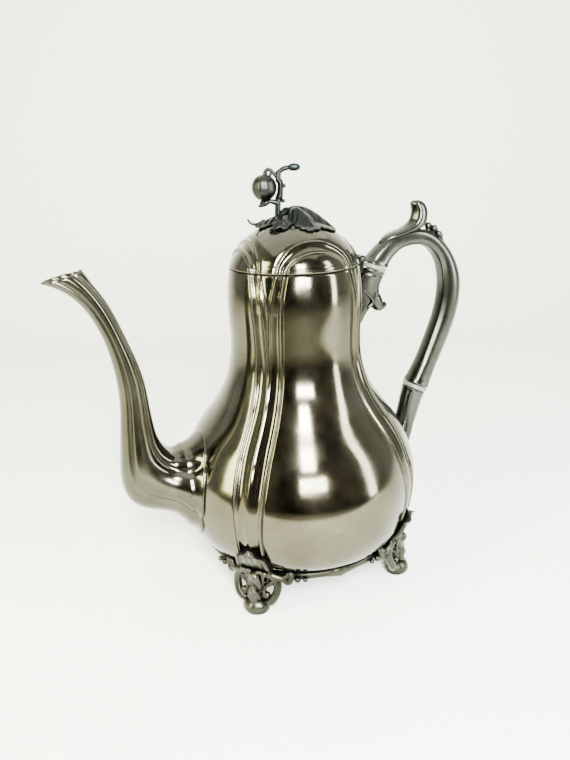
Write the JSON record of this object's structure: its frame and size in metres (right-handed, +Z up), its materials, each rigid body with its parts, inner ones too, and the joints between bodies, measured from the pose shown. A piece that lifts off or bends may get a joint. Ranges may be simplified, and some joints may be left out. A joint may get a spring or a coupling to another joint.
{
  "type": "coffee pot",
  "caption": "Footed pear-shaped metal coffee pot with ribbed panels, long curved spout, insulated loop handle and hinged domed lid with a fruiting-branch finial.",
  "frame": {"origin": "on the floor, midway between the tip of the spout and the back of the handle; the axis of the body stands 13 mm towards the handle", "axes": "+Z up, -X towards the spout, +X towards the handle, Y across; the hinge pin lies along Y"},
  "size_m": [0.2826, 0.1646, 0.275],
  "materials": {
    "pewter": "aged polished",
    "cast_ornament": "cast, dark in the recesses and worn bright on top",
    "finial_metal": "dark cast",
    "insulator": "satin bone",
    "pin_metal": "satin",
    "nut_metal": "dull"
  },
  "bodies": {
    "pot": {"body_shell": "pewter", "spout": "pewter", "base_plate": "pewter", "lower_socket": "pewter", "upper_socket": "pewter", "handle_grip": "pewter", "mouth_ring": "pewter", "hinge_body_knuckles": "pewter", "base_border": "cast_ornament", "foot_front_handle": "cast_ornament", "foot_back_handle": "cast_ornament", "foot_back_spout": "cast_ornament", "foot_front_spout": "cast_ornament", "socket_leaf": "cast_ornament", "thumb_leaf": "cast_ornament", "thumb_berries": "cast_ornament", "upper_insulator": "insulator", "lower_insulator": "insulator", "upper_pins": "pin_metal", "lower_pins": "pin_metal", "hinge_pin": "pin_metal"},
    "lid": {"lid_shell": "pewter", "lid_flange": "pewter", "hinge_lid_knuckle": "pewter", "finial_branch": "finial_metal", "finial_fruit": "finial_metal", "finial_bud": "finial_metal", "finial_leaf_large": "finial_metal", "finial_leaf_small": "finial_metal", "finial_washer": "nut_metal", "finial_nut": "nut_metal"}
  },
  "joints": [
    {"name": "lid_hinge", "type": "hinge", "parent": "pot", "child": "lid", "pos_m": [0.0594, 0, 0.2143], "axis": [0, 1, 0], "range_deg": [0, 92]}
  ]
}
